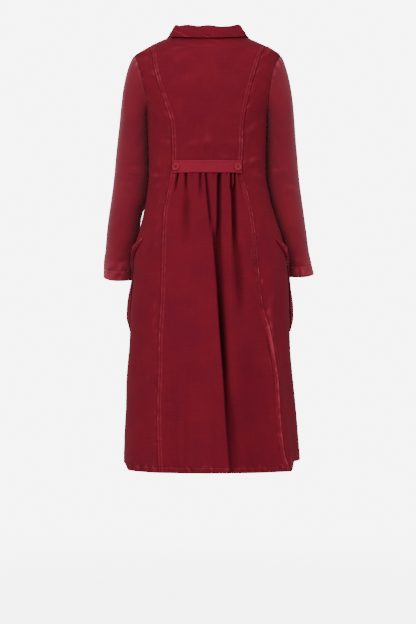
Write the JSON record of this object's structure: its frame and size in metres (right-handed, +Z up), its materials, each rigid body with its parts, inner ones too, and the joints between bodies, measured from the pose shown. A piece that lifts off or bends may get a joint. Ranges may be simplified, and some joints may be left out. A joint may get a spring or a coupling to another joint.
{
  "type": "linen jacket",
  "caption": "Long hollow linen jacket in its worn pose, with a small turn-down collar, a buttoned half belt over a gathered back, long sleeves and bag-like patch pockets.",
  "frame": {"origin": "between the shoulders at the base of the neck, where the wearer holds the jacket up", "axes": "+Z up along the wearer's spine, -Y the front of the garment, +X the garment's left"},
  "size_m": [0.589, 0.3799, 1.2274],
  "materials": {
    "linen": "washed burgundy linen, double topstitched seams",
    "belt_linen": "the same linen, brighter, edge-stitched",
    "button": "satin"
  },
  "bodies": {
    "root": {"back_upper": "linen", "back_lower": "linen", "side_back_left": "linen", "side_back_right": "linen", "front_left": "linen", "front_right": "linen", "sleeve_left": "linen", "sleeve_right": "linen", "collar_stand": "linen", "collar_fall": "linen", "half_belt": "belt_linen", "belt_button_left": "button", "belt_button_right": "button", "front_button_1": "button", "front_button_2": "button", "front_button_3": "button", "front_button_4": "button", "front_button_5": "button", "pocket_left": "linen", "pocket_right": "linen"}
  },
  "joints": []
}
